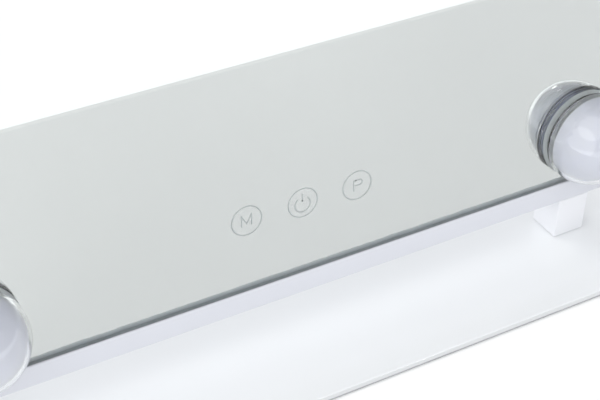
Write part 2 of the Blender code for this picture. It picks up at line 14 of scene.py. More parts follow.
import bmesh
import bpy
import numpy as np
from bpy.types import Material, Node, NodeSocket, NodeTree, Object
from mathutils import Matrix, Vector


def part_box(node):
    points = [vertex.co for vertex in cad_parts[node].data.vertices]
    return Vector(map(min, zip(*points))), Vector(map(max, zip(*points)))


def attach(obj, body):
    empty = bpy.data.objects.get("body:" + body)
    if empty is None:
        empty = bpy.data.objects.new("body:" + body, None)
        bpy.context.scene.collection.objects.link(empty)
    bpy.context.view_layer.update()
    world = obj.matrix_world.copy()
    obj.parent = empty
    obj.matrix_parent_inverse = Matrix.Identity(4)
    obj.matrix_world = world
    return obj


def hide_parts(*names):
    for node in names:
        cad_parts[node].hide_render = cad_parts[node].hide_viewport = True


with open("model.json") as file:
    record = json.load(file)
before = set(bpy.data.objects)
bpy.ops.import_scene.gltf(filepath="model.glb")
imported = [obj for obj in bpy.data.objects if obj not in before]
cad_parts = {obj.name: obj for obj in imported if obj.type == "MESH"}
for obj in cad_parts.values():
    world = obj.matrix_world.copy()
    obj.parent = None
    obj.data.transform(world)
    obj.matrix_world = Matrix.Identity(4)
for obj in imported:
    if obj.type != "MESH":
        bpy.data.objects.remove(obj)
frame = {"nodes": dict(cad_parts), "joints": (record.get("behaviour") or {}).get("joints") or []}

MM = 0.001
MERGE_DISTANCE = 0.001 * MM
CRISP_ANGLE = math.radians(35)  # above it an edge stays crisp
log = logging.getLogger("vanity_mirror")


class Body(Enum):
    """The two bodies that pieces ride on."""

    STAND = "stand"
    HEAD = "mirror_head"


def linear(hex_colour: str) -> tuple[float, float, float, float]:
    """Turns an sRGB hex value into the linear colour that a shader takes.

    Args:
        hex_colour: the colour as #rrggbb.

    Returns:
        Red, green, blue and an alpha of 1.
    """
    parts = np.array([int(hex_colour[i : i + 2], 16) / 255 for i in (1, 3, 5)])
    light = np.where(parts <= 0.04045, parts / 12.92, ((parts + 0.055) / 1.055) ** 2.4)
    return (float(light[0]), float(light[1]), float(light[2]), 1.0)


def add_node(
    tree: NodeTree, kind: str, links: dict[str | int, object] | None = None, **settings: str
) -> Node:
    """Adds a node with its settings and links.

    Args:
        tree: the node tree that takes the node.
        kind: the node's type.
        links: for each input, by name or number, a value or the output that feeds it.
        settings: the node's own settings, by name.

    Returns:
        The node.
    """
    node = tree.nodes.new(kind)
    for name, value in settings.items():
        setattr(node, name, value)
    for key, source in (links or {}).items():
        if isinstance(source, NodeSocket):
            tree.links.new(source, node.inputs[key])
        else:
            node.inputs[key].default_value = source
    return node


# ---------------------------------------------------------------- shapes


def arc(centre: tuple[float, float], radius: float, start: float, end: float, steps: int) -> np.ndarray:
    """Points along a circle's arc: the centre plus the radius times the cosine and sine of each angle.

    Args:
        centre: the circle's centre.
        radius: its radius.
        start: first angle, in degrees.
        end: last angle, in degrees.
        steps: how many steps lie between them.

    Returns:
        An array of steps + 1 points.
    """
    angle = np.radians(np.linspace(start, end, steps + 1))
    return np.stack((centre[0] + radius * np.cos(angle), centre[1] + radius * np.sin(angle)), axis=-1)


def grid_faces(rows: int, columns: int, wrap_rows: bool = False) -> list[list[int]]:
    """Quads over a grid of points that closes on itself from its last column to its first.

    Args:
        rows: points down the grid.
        columns: points round it.
        wrap_rows: True if the last row also joins the first.

    Returns:
        Four point numbers for each quad.
    """
    row = np.arange(rows if wrap_rows else rows - 1)[:, None]
    column = np.arange(columns)[None, :]
    beside = (column + 1) % columns
    here, below = row * columns, (row + 1) % rows * columns
    quads = (here + column, below + column, below + beside, here + beside)
    return np.stack(quads, axis=-1).reshape(-1, 4).tolist()


def new_piece(name: str, points: np.ndarray, faces: list[list[int]]) -> Object:
    """Makes a closed piece whose faces point outwards.

    Args:
        name: the piece's name.
        points: its points, as any array whose last axis holds x, y and z.
        faces: point numbers for each face.

    Returns:
        The piece, at the origin, with its place in its mesh.
    """
    mesh = bpy.data.meshes.new(name)
    mesh.from_pydata(points.reshape(-1, 3).tolist(), [], faces)
    shell = bmesh.new()
    shell.from_mesh(mesh)
    bmesh.ops.remove_doubles(shell, verts=shell.verts, dist=MERGE_DISTANCE)
    bmesh.ops.recalc_face_normals(shell, faces=shell.faces)
    shell.to_mesh(mesh)
    shell.free()
    mesh.shade_smooth()
    mesh.set_sharp_from_angle(angle=CRISP_ANGLE)
    piece = bpy.data.objects.new(name, mesh)
    bpy.context.scene.collection.objects.link(piece)
    return piece


@dataclass(frozen=True)
class Axes:
    """An origin and three directions, in which a piece is worked out before it is put in place."""

    origin: np.ndarray
    across: np.ndarray
    up: np.ndarray
    out: np.ndarray

    def place(self, local: np.ndarray) -> np.ndarray:
        """Origin plus each local coordinate times its direction."""
        return self.origin + local @ np.stack((self.across, self.up, self.out))


def turned(name: str, profile: np.ndarray, axes: Axes, steps: int, ring: bool = False) -> Object:
    """Turns a profile about an axis.

    The point at profile place (r, h) and angle a is r cos a across, r sin a up and h out.

    Args:
        name: the piece's name.
        profile: radius and height of each point along the profile.
        axes: the axes, with the turning axis out.
        steps: facets round a full turn.
        ring: True if the profile is a loop clear of the axis.

    Returns:
        The piece.
    """
    angle = np.linspace(0, 2 * np.pi, steps, endpoint=False)
    radius, height = profile[:, 0, None], profile[:, 1, None]
    local = np.stack((radius * np.cos(angle), radius * np.sin(angle), height + 0 * angle), axis=-1)
    return new_piece(name, axes.place(local), grid_faces(len(profile), steps, wrap_rows=ring))


def rounded_block(name: str, low: Vector, high: Vector, corner: float, edge: float, steps: int) -> Object:
    """An upright block with rounded corners and rounded top and bottom edges.

    Each level is the same rounded rectangle, drawn in by edge times one minus the cosine of an angle that
    runs from minus to plus a quarter turn, at a height that follows the angle's sine.

    Args:
        name: the piece's name.
        low: lowest corner.
        high: highest corner.
        corner: radius of the four upright corners.
        edge: radius of the top and bottom edges.
        steps: steps in a quarter turn.

    Returns:
        The block.
    """
    centre, half = (low + high) / 2, (high - low) / 2
    quarter = np.linspace(0, np.pi / 2, steps + 1)
    around = np.concatenate([quarter + turn * np.pi / 2 for turn in range(4)])
    sign_x = np.repeat([1, -1, -1, 1], steps + 1)
    sign_y = np.repeat([1, 1, -1, -1], steps + 1)
    tilt = np.concatenate((np.linspace(-np.pi / 2, 0, steps + 1), np.linspace(0, np.pi / 2, steps + 1)))
    inset = edge * (1 - np.cos(tilt))
    level = edge * np.sin(tilt) + np.sign(np.linspace(-1, 1, len(tilt))) * (half.z - edge)
    reach = (corner - inset)[:, None]
    x = centre.x + sign_x * (half.x - corner) + reach * np.cos(around)
    y = centre.y + sign_y * (half.y - corner) + reach * np.sin(around)
    z = centre.z + level[:, None] + 0 * around
    points = np.stack((x, y, z), axis=-1)
    rows, columns = points.shape[:2]
    caps = [list(range(columns)), list(range((rows - 1) * columns, rows * columns))]
    return new_piece(name, points, grid_faces(rows, columns) + caps)


def cut_away(piece: Object, *cutters: Object) -> None:
    """Cuts the cutters from a piece, keeps the result as the piece's mesh and removes the cutters.

    Args:
        piece: the piece.
        cutters: the closed shapes that leave a hollow in it.
    """
    for cutter in cutters:
        modifier = piece.modifiers.new("cut", "BOOLEAN")
        modifier.operation = "DIFFERENCE"
        modifier.solver = "EXACT"
        modifier.object = cutter
    graph = bpy.context.evaluated_depsgraph_get()
    piece.data = bpy.data.meshes.new_from_object(piece.evaluated_get(graph))
    piece.modifiers.clear()
    piece.data.set_sharp_from_angle(angle=CRISP_ANGLE)
    for cutter in cutters:
        bpy.data.objects.remove(cutter, do_unlink=True)


def flat_sheet(name: str, outlines: list[np.ndarray], thickness: float, axes: Axes) -> Object:
    """A thin flat sheet with holes.

    Args:
        name: the piece's name.
        outlines: loops of points across and up, the outside first and then the holes.
        thickness: the sheet's thickness, half of it each side of the axes' plane.
        axes: where the sheet lies, with its thickness out.

    Returns:
        The sheet.
    """
    curve = bpy.data.curves.new(name, "CURVE")
    curve.dimensions = "2D"
    curve.fill_mode = "BOTH"
    curve.extrude = thickness / 2
    for outline in outlines:
        spline = curve.splines.new("POLY")
        spline.points.add(len(outline) - 1)
        place = np.concatenate((outline, np.zeros((len(outline), 1)), np.ones((len(outline), 1))), axis=1)
        spline.points.foreach_set("co", place.ravel())
        spline.use_cyclic_u = True
    guide = bpy.data.objects.new(name + "_guide", curve)
    bpy.context.scene.collection.objects.link(guide)
    graph = bpy.context.evaluated_depsgraph_get()
    flat = bpy.data.meshes.new_from_object(guide.evaluated_get(graph))
    local = np.empty(len(flat.vertices) * 3)
    flat.vertices.foreach_get("co", local)
    faces = [list(face.vertices) for face in flat.polygons]
    bpy.data.objects.remove(guide, do_unlink=True)
    return new_piece(name, axes.place(local.reshape(-1, 3)), faces)


def ribbon(name: str, path: np.ndarray, width: float, thickness: float, axes: Axes, loop: bool) -> Object:
    """A flat printed line of one width along a path, with mitred corners.

    Each path point moves half the width to either side along the mitre, which is the sum of the two
    neighbouring side directions, divided by one plus the cosine of the turn between them.

    Args:
        name: the piece's name.
        path: points across and up.
        width: the line's width.
        thickness: its thickness.
        axes: where the line lies, with its thickness out.
        loop: True if the path closes on itself.

    Returns:
        The line.
    """
    step = np.roll(path, -1, axis=0) - path
    ahead = step / np.linalg.norm(step, axis=1, keepdims=True)
    behind = np.roll(ahead, 1, axis=0)
    if not loop:
        ahead[-1], behind[0] = ahead[-2], ahead[0]
    side_ahead = np.stack((-ahead[:, 1], ahead[:, 0]), axis=-1)
    side_behind = np.stack((-behind[:, 1], behind[:, 0]), axis=-1)
    turn = np.sum(side_ahead * side_behind, axis=1, keepdims=True)
    mitre = (side_ahead + side_behind) / (1 + turn) * width / 2
    corners = ((mitre, thickness), (mitre, 0.0), (-mitre, 0.0), (-mitre, thickness))
    loops = [np.column_stack((path + move, np.full(len(path), depth))) for move, depth in corners]
    local = np.stack(loops, axis=1)
    faces = grid_faces(len(path), len(corners), wrap_rows=loop)
    if not loop:
        last = (len(path) - 1) * len(corners)
        faces += [list(range(len(corners))), list(range(last, last + len(corners)))]
    return new_piece(name, axes.place(local), faces)


# ---------------------------------------------------------------- the frame


@dataclass(frozen=True)
class HeadFrame:
    """The mirror head's own axes: upright, about the tilt axis, before the head leans back."""

    pivot: np.ndarray
    lean: float

    @classmethod
    def from_frame(cls) -> "HeadFrame":
        """Reads the tilt axis from the record, and the lean from two globes of one column."""
        pivot = np.array(frame["joints"][0]["pos_m"], float)
        lowest, highest = (sum(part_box(f"globe_left_{row}"), Vector()) / 2 for row in (1, 4))
        rise = highest - lowest
        return cls(pivot, math.atan2(rise.y, rise.z))

    def upright(self) -> np.ndarray:
        """The head's across, back and up directions, as rows."""
        sine, cosine = math.sin(self.lean), math.cos(self.lean)
        return np.array(((1, 0, 0), (0, cosine, -sine), (0, sine, cosine)))

    def box(self, node: str) -> tuple[Vector, Vector]:
        """Measures a CAD node in the head's own axes.

        Args:
            node: the node's name.

        Returns:
            Its lowest and highest corners.
        """
        mesh = frame["nodes"][node].data
        points = np.empty(len(mesh.vertices) * 3)
        mesh.vertices.foreach_get("co", points)
        local = (points.reshape(-1, 3) - self.pivot) @ self.upright().T
        return Vector(local.min(0)), Vector(local.max(0))

    def facing_user(self, x: float, y: float, z: float) -> Axes:
        """Axes at a place in the head: across, up, and out towards the user."""
        across, back, up = self.upright()
        return Axes(self.pivot + np.array((x, y, z)) @ self.upright(), across, up, -back)

    def facing_wall(self, x: float, y: float, z: float) -> Axes:
        """Axes at a place in the head: across, up, and out of the back."""
        across, back, up = self.upright()
        return Axes(self.pivot + np.array((x, y, z)) @ self.upright(), -across, up, back)


def from_above(x: float, y: float, z: float) -> Axes:
    """Axes at a place in the frame, with their turning axis upright."""
    return Axes(np.array((x, y, z)), *np.eye(3))


def middle(low: Vector, high: Vector) -> list[float]:
    """The middle of a box, from its lowest and highest corners."""
    return [(least + most) / 2 for least, most in zip(low, high)]


# ---------------------------------------------------------------- finishes


@dataclass(frozen=True)
class Grain:
    """A fine uneven surface: its relief, and a little change in its colour and gloss."""

    width: float  # typical distance between two bumps
    height: float  # how high they stand
    shade: float  # how much darker the hollows are, as a share
    gloss: float  # how much the roughness changes, either way
    stretch: tuple[float, float, float] = (1, 1, 1)  # how many times finer the bumps are along each axis

    def add(self, tree: NodeTree, shader: Node, colour: str, roughness: float) -> None:
        """Adds the relief from a fine noise, the tint from a broad one and the gloss from both.

        Args:
            tree: the material's nodes.
            shader: its shader.
            colour: the colour of the bumps.
            roughness: the middle of the range that the roughness runs through.
        """
        place = add_node(tree, "ShaderNodeTexCoord").outputs["Object"]
        scaled = add_node(tree, "ShaderNodeMapping", {"Vector": place, "Scale": self.stretch}).outputs[0]
        fine, broad = (
            add_node(tree, "ShaderNodeTexNoise", {"Vector": at, "Scale": scale, "Detail": detail}).outputs[0]
            for at, scale, detail in ((scaled, 1 / self.width, 3.0), (place, 0.04 / self.width, 2.0))
        )
        bump = add_node(tree, "ShaderNodeBump", {"Height": fine, "Distance": self.height, "Strength": 1.0})
        tree.links.new(bump.outputs["Normal"], shader.inputs["Normal"])
        both = add_node(tree, "ShaderNodeMath", {0: fine, 1: broad}, operation="ADD").outputs[0]
        lowest, highest = roughness - self.gloss, roughness + self.gloss
        spread = {"Value": both, "From Min": 0.6, "From Max": 1.4, "To Min": lowest, "To Max": highest}
        rough = add_node(tree, "ShaderNodeMapRange", spread).outputs["Result"]
        tree.links.new(rough, shader.inputs["Roughness"])
        pale = linear(colour)
        deep = tuple(part * (1 - self.shade) for part in pale[:3]) + (1.0,)
        tint = add_node(tree, "ShaderNodeValToRGB", {"Fac": broad})
        for stop, position, shade in zip(tint.color_ramp.elements, (0.3, 0.7), (deep, pale)):
            stop.position, stop.color = position, shade
        tree.links.new(tint.outputs["Color"], shader.inputs["Base Color"])


@dataclass(frozen=True)
class Finish:
    """A finish with one base shader and its grain; a subclass adds any more that its surface shows."""

    name: str
    colour: str
    roughness: float
    metallic: float = 0.0
    grain: Grain | None = None

    def build(self) -> Material:
        """Makes the material.

        Returns:
            The material, with its grain and detail.
        """
        material = bpy.data.materials.new(self.name)
        material.use_nodes = True
        material.diffuse_color = linear(self.colour)
        tree = material.node_tree
        shader = tree.nodes["Principled BSDF"]
        shader.inputs["Base Color"].default_value = linear(self.colour)
        shader.inputs["Roughness"].default_value = self.roughness
        shader.inputs["Metallic"].default_value = self.metallic
        if self.grain:
            self.grain.add(tree, shader, self.colour, self.roughness)
        self.detail(tree, shader)
        return material

    def detail(self, tree: NodeTree, shader: Node) -> None:
        """Adds nothing; a subclass adds its own."""


@dataclass(frozen=True)
class PowderCoat(Finish):
    """Baked polyester powder on metal: a satin white whose melted grains leave a fine orange peel."""

    grain: Grain = Grain(0.9 * MM, 0.006 * MM, shade=0.02, gloss=0.05)


@dataclass(frozen=True)
class ZincPlate(Finish):
    """Bright zinc on turned and stamped steel: blue-grey, over the tool's fine lines along X."""

    grain: Grain = Grain(0.25 * MM, 0.004 * MM, shade=0.18, gloss=0.08, stretch=(0.15, 1, 1))


@dataclass(frozen=True)
class MouldedRubber(Finish):
    """Moulded rubber: dull, with a pitted skin that takes up pale dust."""

    grain: Grain = Grain(0.35 * MM, 0.02 * MM, shade=0.25, gloss=0.08)


@dataclass(frozen=True)
class MouldedAbs(Finish):
    """Injection-moulded ABS: black, with the spark-eroded grain of its tool."""

    grain: Grain = Grain(0.6 * MM, 0.02 * MM, shade=0.2, gloss=0.1)


@dataclass(frozen=True)
class VinylSheath(Finish):
    """Extruded PVC round a lead: soft white, with long draw lines."""

    grain: Grain = Grain(0.5 * MM, 0.01 * MM, shade=0.06, gloss=0.08, stretch=(1, 1, 0.2))


@dataclass(frozen=True)
class EtchedLine(Finish):
    """A line etched through the silver: frosted glass over a grey board, seen as a soft grey."""

    grain: Grain = Grain(0.4 * MM, 0.002 * MM, shade=0.12, gloss=0.05)


@dataclass(frozen=True)
class ScreenPrint(Finish):
    """White ink printed on the back of the glass: a dull film with the screen's uneven lay."""

    grain: Grain = Grain(0.4 * MM, 0.002 * MM, shade=0.12, gloss=0.05)


@dataclass(frozen=True)
class GlossEnamel(Finish):
    """Stoved gloss enamel on steel sheet: a hard white skin with long, shallow waves and a sharp sheen."""

    grain: Grain = Grain(3.0 * MM, 0.004 * MM, shade=0.012, gloss=0.03)
    # grey for the faces far from level: painted shade on the plate's sides
    side_shade_colour: str = "#bec1c3"

    def detail(self, tree: NodeTree, shader: Node) -> None:
        """Adds a clear top skin, and grey on every face far from level: painted shade on the plate's sides and
        edges.

        Args:
            tree: the material's nodes.
            shader: its shader.
        """
        shader.inputs["Coat Weight"].default_value = 0.3
        shader.inputs["Coat Roughness"].default_value = 0.08
        face = shader.inputs["Base Color"].links[0].from_socket
        normal = add_node(tree, "ShaderNodeNewGeometry").outputs["Normal"]
        upright = add_node(tree, "ShaderNodeSeparateXYZ", {"Vector": normal}).outputs["Z"]
        flat = add_node(tree, "ShaderNodeMath", {0: upright}, operation="ABSOLUTE").outputs[0]
        # faces far from level turn grey: painted shade
        side_shade_mask = add_node(tree, "ShaderNodeMapRange", {"Value": flat, "From Min": 0.3, "From Max": 0.95})
        blend = {"Factor": side_shade_mask.outputs["Result"], 6: linear(self.side_shade_colour), 7: face}
        colour = add_node(tree, "ShaderNodeMix", blend, data_type="RGBA").outputs[2]
        tree.links.new(colour, shader.inputs["Base Color"])


@dataclass(frozen=True)
class SolderMask(Finish):
    """White solder mask on glass-fibre board: the weave below shows as a faint square relief."""

    thread: float = 0.5 * MM
    relief: float = 0.01 * MM

    def detail(self, tree: NodeTree, shader: Node) -> None:
        """Adds the weave: the product of two sets of waves that cross at a thread's spacing.

        Args:
            tree: the material's nodes.
            shader: its shader.
        """
        place = add_node(tree, "ShaderNodeTexCoord").outputs["Object"]
        wave = {"Vector": place, "Scale": 1 / (20 * self.thread), "Distortion": 0.3}
        warp, weft = (add_node(tree, "ShaderNodeTexWave", wave, bands_direction=way) for way in ("X", "Z"))
        crossed = {0: warp.outputs["Fac"], 1: weft.outputs["Fac"]}
        weave = add_node(tree, "ShaderNodeMath", crossed, operation="MULTIPLY").outputs[0]
        bump = add_node(tree, "ShaderNodeBump", {"Height": weave, "Distance": self.relief})
        tree.links.new(bump.outputs["Normal"], shader.inputs["Normal"])
        pale = linear(self.colour)
        deep = (pale[0] * 0.86, pale[1] * 0.9, pale[2] * 0.8, 1.0)
        tint = add_node(tree, "ShaderNodeMix", {"Factor": weave, 6: deep, 7: pale}, data_type="RGBA")
        tree.links.new(tint.outputs[2], shader.inputs["Base Color"])


@dataclass(frozen=True)
class OpalAcrylic(Finish):
    """Moulded opal acrylic: milky through its wall, with a soft skin and a faint broad ripple."""

    grain: Grain = Grain(9.0 * MM, 0.01 * MM, shade=0.03, gloss=0.03)
    scatter: float = 0.9 * MM  # how far light spreads inside the wall

    def detail(self, tree: NodeTree, shader: Node) -> None:
        """Adds the scatter of light inside the wall, a little wider for blue.

        Args:
            tree: the material's nodes.
            shader: its shader.
        """
        shader.inputs["IOR"].default_value = 1.49
        shader.inputs["Specular IOR Level"].default_value = 0.2
        shader.inputs["Subsurface Weight"].default_value = 1.0
        shader.inputs["Subsurface Radius"].default_value = (1.0, 1.0, 1.1)
        shader.inputs["Subsurface Scale"].default_value = self.scatter


@dataclass(frozen=True)
class ClearAcrylic(Finish):
    """Moulded clear acrylic: bright, with faint flow lines from its gate."""

    grain: Grain = Grain(2.0 * MM, 0.002 * MM, shade=0.01, gloss=0.01)

    def detail(self, tree: NodeTree, shader: Node) -> None:
        """Lets light through."""
        shader.inputs["IOR"].default_value = 1.49
        shader.inputs["Transmission Weight"].default_value = 1.0


@dataclass(frozen=True)
class FloatGlass(Finish):
    """Float glass: clear and faintly green, with edges and holes ground to a frosted grey-green, made dark as
    painted shade.
    """

    # the ground edges' frosted grey-green, made dark: painted shade
    ground_shade_colour: str = "#4d5b61"
    ground_roughness: float = 0.6
    grit: float = 0.8 * MM  # far coarser than a real wheel's grit, so that it shows
    back: tuple[float, float, float] = (0, 1, 0)

    def detail(self, tree: NodeTree, shader: Node) -> None:
        """Makes the two faces clear and every surface square to them ground.

        A surface is ground where its direction has under half of the back direction in it.

        Args:
            tree: the material's nodes.
            shader: its shader.
        """
        shader.inputs["IOR"].default_value = 1.52
        normal = add_node(tree, "ShaderNodeNewGeometry").outputs["Normal"]
        both = {0: normal, 1: self.back}
        along = add_node(tree, "ShaderNodeVectorMath", both, operation="DOT_PRODUCT").outputs["Value"]
        flat = add_node(tree, "ShaderNodeMath", {0: along}, operation="ABSOLUTE").outputs[0]
        clear = add_node(tree, "ShaderNodeMath", {0: flat, 1: 0.5}, operation="GREATER_THAN").outputs[0]
        place = add_node(tree, "ShaderNodeTexCoord").outputs["Object"]
        pits = add_node(tree, "ShaderNodeTexNoise", {"Vector": place, "Scale": 1 / self.grit, "Detail": 4.0})
        # the ground surfaces' dark grey-green: partly painted shade
        dark = linear(self.ground_shade_colour)
        pale = tuple(min(part * 1.5, 1.0) for part in dark[:3]) + (1.0,)
        frost = {"Factor": pits.outputs["Fac"], 6: dark, 7: pale}
        ground = add_node(tree, "ShaderNodeMix", frost, data_type="RGBA").outputs[2]
        blend = {"Factor": clear, 6: ground, 7: linear(self.colour)}
        colour = add_node(tree, "ShaderNodeMix", blend, data_type="RGBA").outputs[2]
        dull = {"Value": clear, "To Min": self.ground_roughness, "To Max": self.roughness}
        rough = add_node(tree, "ShaderNodeMapRange", dull).outputs["Result"]
        tree.links.new(colour, shader.inputs["Base Color"])
        tree.links.new(clear, shader.inputs["Transmission Weight"])
        tree.links.new(rough, shader.inputs["Roughness"])


@dataclass(frozen=True)
class Silvering(Finish):
    """Wet-deposited silver behind glass: a clear mirror with a grey margin that seals its edge, darker towards
    the edge as painted shade.
    """

    # darkest grey at the very edge, fading to the paler grey inwards: painted shade
    seal_edge_shade_colour: str = "#76838a"
    seal_pale_colour: str = "#b4bec2"
    seal_roughness: float = 0.7
    seal_width: float = 2.0 * MM
    seal_fade: float = 0.5 * MM
    wander: float = 0.2 * MM  # how far the margin strays, either way
    wander_length: float = 6.0 * MM
    half_width: float = 0.0
    bottom: float = 0.0
    top: float = 0.0
    pivot: tuple[float, float, float] = (0, 0, 0)
    lean: float = 0.0

    def edge_distance(self, tree: NodeTree) -> tuple[NodeSocket, NodeSocket]:
        """Works out how far a point lies from the sheet's nearest edge.

        The distance is the least of half the width less the distance from the middle, the height above
        the lower edge and the height below the upper one.

        Args:
            tree: the material's nodes.

        Returns:
            The point's place in the head's upright axes, and the distance.
        """
        place = add_node(tree, "ShaderNodeTexCoord").outputs["Object"]
        upright = {"Vector": place, "Location": self.pivot, "Rotation": (-self.lean, 0, 0)}
        local = add_node(tree, "ShaderNodeMapping", upright, vector_type="TEXTURE").outputs["Vector"]
        split = add_node(tree, "ShaderNodeSeparateXYZ", {"Vector": local})
        across = add_node(tree, "ShaderNodeMath", {0: split.outputs["X"]}, operation="ABSOLUTE").outputs[0]
        up = split.outputs["Z"]
        side, below, above = (
            add_node(tree, "ShaderNodeMath", {0: more, 1: less}, operation="SUBTRACT").outputs[0]
            for more, less in ((self.half_width, across), (up, self.bottom), (self.top, up))
        )
        ends = add_node(tree, "ShaderNodeMath", {0: below, 1: above}, operation="MINIMUM").outputs[0]
        return local, add_node(tree, "ShaderNodeMath", {0: side, 1: ends}, operation="MINIMUM").outputs[0]

    def detail(self, tree: NodeTree, shader: Node) -> None:
        """Turns the silver to grey paint near the sheet's edge, along a line that wanders a little; the grey
        darkens towards the edge as painted shade.

        Args:
            tree: the material's nodes.
            shader: its shader.
        """
        local, near = self.edge_distance(tree)
        waves = {"Vector": local, "Scale": 1 / self.wander_length, "Detail": 4.0}
        creep = add_node(tree, "ShaderNodeTexNoise", waves).outputs["Fac"]
        way = self.wander
        stray = {"Value": creep, "From Min": 0.3, "From Max": 0.7, "To Min": -way, "To Max": way}
        shift = add_node(tree, "ShaderNodeMapRange", stray).outputs["Result"]
        edge = add_node(tree, "ShaderNodeMath", {0: near, 1: shift}, operation="ADD").outputs[0]
        # the margin's grey gets darker towards the edge: painted shade
        seal_shade_ramp = add_node(tree, "ShaderNodeMapRange", {"Value": edge, "From Max": self.seal_width})
        dark, pale = linear(self.seal_edge_shade_colour), linear(self.seal_pale_colour)
        paint = {"Factor": seal_shade_ramp.outputs["Result"], 6: dark, 7: pale}
        seal = add_node(tree, "ShaderNodeMix", paint, data_type="RGBA").outputs[2]
        start, end = self.seal_width - self.seal_fade, self.seal_width + self.seal_fade
        fade = {"Value": edge, "From Min": start, "From Max": end}
        bright = add_node(tree, "ShaderNodeMapRange", fade, interpolation_type="SMOOTHSTEP").outputs["Result"]
        blend = {"Factor": bright, 6: seal, 7: linear(self.colour)}
        colour = add_node(tree, "ShaderNodeMix", blend, data_type="RGBA").outputs[2]
        dull = {"Value": bright, "To Min": self.seal_roughness, "To Max": self.roughness}
        rough = add_node(tree, "ShaderNodeMapRange", dull).outputs["Result"]
        tree.links.new(colour, shader.inputs["Base Color"])
        tree.links.new(bright, shader.inputs["Metallic"])
        tree.links.new(rough, shader.inputs["Roughness"])


# ---------------------------------------------------------------- sub-assemblies


def finish_piece(piece: Object, material: Material, body: Body, slot: str, *nodes: str) -> None:
    """Dresses a new piece, sets what it rides on and hides the CAD nodes that it stands for.

    Args:
        piece: the new piece.
        material: its material.
        body: the body that it moves with.
        slot: the record's material slot of the piece; not used.
        nodes: CAD nodes that it replaces.
    """
    piece.data.materials.clear()
    piece.data.materials.append(material)
    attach(piece, body.value)
    if nodes:
        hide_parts(*nodes)
    log.info("made %s: %d faces", piece.name, len(piece.data.polygons))


def dress(material: Material, *nodes: str) -> None:
    """Gives CAD nodes, which keep their shape, a better material.

    Args:
        material: the material.
        nodes: the nodes' names.
    """
    for name in nodes:
        node = frame["nodes"][name]
        if not node.material_slots:
            node.data.materials.append(material)
        for slot in node.material_slots:
            slot.material = material
        log.info("dressed %s in %s", name, material.name)


def nodes_named(*starts: str) -> list[str]:
    """The CAD nodes whose names start with any of these words, in order."""
    return sorted(name for name in frame["nodes"] if name.startswith(starts))


@dataclass
class GlobeLights:
    """Nine clear globes with an opal lining, each on a seat that clips into a hole in the glass."""

    head: HeadFrame
    radius: float = 22.5 * MM
    wall: float = 1.6 * MM
    standoff: float = 4.5 * MM
    rim: float = 2.2 * MM
    lining_gap: float = 0.1 * MM
    lining_wall: float = 0.35 * MM
    lining_start: float = 4.8 * MM
    seat_radius: float = 21.5 * MM
    seat_height: float = 1.6 * MM
    seat_round: float = 0.7 * MM
    spigot_radius: float = 14.7 * MM
    spigot_depth: float = 3.7 * MM
    bore_radius: float = 12.5 * MM
    gap: float = 0.3 * MM
    steps: int = 128
    arc_steps: int = 40

    def globe_profile(self) -> np.ndarray:
        """Outer arc from the crown to the rim, a rounded rim, and the inner arc back to the crown.

        Returns:
            Radius and height of each point.
        """
        centre = (0.0, self.standoff)
        inner = self.radius - self.wall
        half = self.wall / 2
        low = math.degrees(math.asin((self.rim + half - self.standoff) / (self.radius - half)))
        outer_arc = arc(centre, self.radius, 90, low, self.arc_steps)
        lip_at = (
            (self.radius - half) * math.cos(math.radians(low)),
            self.standoff + (self.radius - half) * math.sin(math.radians(low)),
        )
        lip = arc(lip_at, half, low, low - 180, 10)[1:-1]
        inner_arc = arc(centre, inner, low, 90, self.arc_steps)
        profile = np.concatenate((outer_arc, lip, inner_arc))
        profile[[0, -1], 0] = 0.0
        return profile

    def lining_profile(self) -> np.ndarray:
        """Two arcs a wall apart, just inside the globe, from the crown down to where it stays clear.

        Returns:
            Radius and height of each point.
        """
        centre = (0.0, self.standoff)
        outside = self.radius - self.wall - self.lining_gap
        inside = outside - self.lining_wall
        low = math.degrees(math.asin((self.lining_start - self.standoff) / outside))
        outer_arc = arc(centre, outside, 90, low, self.arc_steps)
        inner_arc = arc(centre, inside, low, 90, self.arc_steps)
        profile = np.concatenate((outer_arc, inner_arc))
        profile[[0, -1], 0] = 0.0
        return profile

    def seat_profile(self) -> np.ndarray:
        """The seat's section: front face, rounded rim, underside, the spigot in the glass and the bore.

        Returns:
            Radius and height of each point.
        """
        front, back = self.seat_height + self.gap, -self.spigot_depth
        corner = arc((self.seat_radius - self.seat_round, front - self.seat_round), self.seat_round, 90, 0, 6)
        spigot, bore = self.spigot_radius, self.bore_radius
        rest = ((self.seat_radius, self.gap), (spigot, self.gap), (spigot, back), (bore, back), (bore, front))
        return np.concatenate((corner, rest))

    def build(self, clear: Material, opal: Material) -> None:
        """Makes every globe, lining and seat where its CAD node is.

        Args:
            clear: the material of the globes and seats.
            opal: the material of the linings.
        """
        face = self.head.box("mirror_glass")[0].y
        for node in nodes_named("globe_seat_"):
            light = node.removeprefix("globe_seat_")
            x, _, z = middle(*self.head.box(node))
            axes = self.head.facing_user(x, face, z)
            globe = turned(f"clear_globe_{light}", self.globe_profile(), axes, self.steps)
            finish_piece(globe, clear, Body.HEAD, "opal_globe", f"globe_{light}")
            lining = turned(f"opal_lining_{light}", self.lining_profile(), axes, self.steps)
            finish_piece(lining, opal, Body.HEAD, "opal_globe")
            seat = turned(f"clear_seat_{light}", self.seat_profile(), axes, self.steps, ring=True)
            finish_piece(seat, clear, Body.HEAD, "clear_seat", node)


